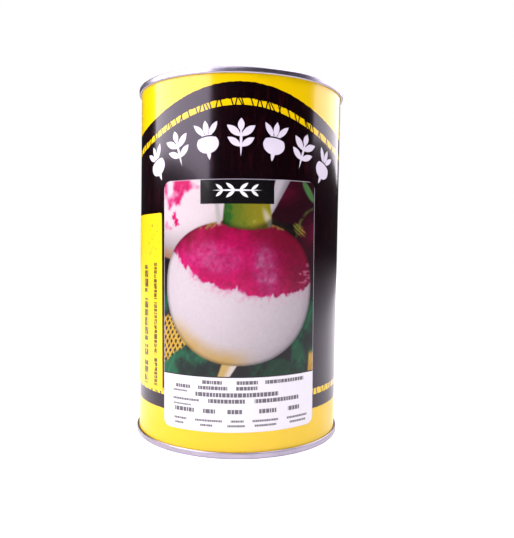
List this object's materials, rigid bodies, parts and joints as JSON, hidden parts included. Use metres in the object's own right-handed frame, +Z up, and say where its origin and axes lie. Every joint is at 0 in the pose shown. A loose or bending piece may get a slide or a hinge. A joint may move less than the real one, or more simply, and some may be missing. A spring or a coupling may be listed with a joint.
{
  "type": "printed tin can",
  "caption": "Sealed tall tin can for loose seed: a printed, welded tube with two stamped ends held by double seams, a picture sticker and a date sticker.",
  "frame": {"origin": "centre of the bottom rim, on the surface the can stands on", "axes": "+Z up the can's axis; the picture sticker faces -Y; +X is to the right of someone looking at the picture"},
  "size_m": [0.108, 0.108, 0.1778],
  "materials": {
    "printed_tinplate": "gloss varnished print in yellow and near-black on tinplate",
    "bare_tinplate": "bright rolled tinplate",
    "sealing_compound": "matt",
    "picture_paper": "gloss coated paper, printed",
    "date_paper": "satin paper, stamped",
    "seed": "matt, grainy"
  },
  "bodies": {
    "root": {"can_body": "printed_tinplate", "top_end": "bare_tinplate", "bottom_end": "bare_tinplate", "top_seam_compound": "sealing_compound", "bottom_seam_compound": "sealing_compound", "picture_label": "picture_paper", "date_label": "date_paper", "seed_fill": "seed"}
  },
  "joints": []
}
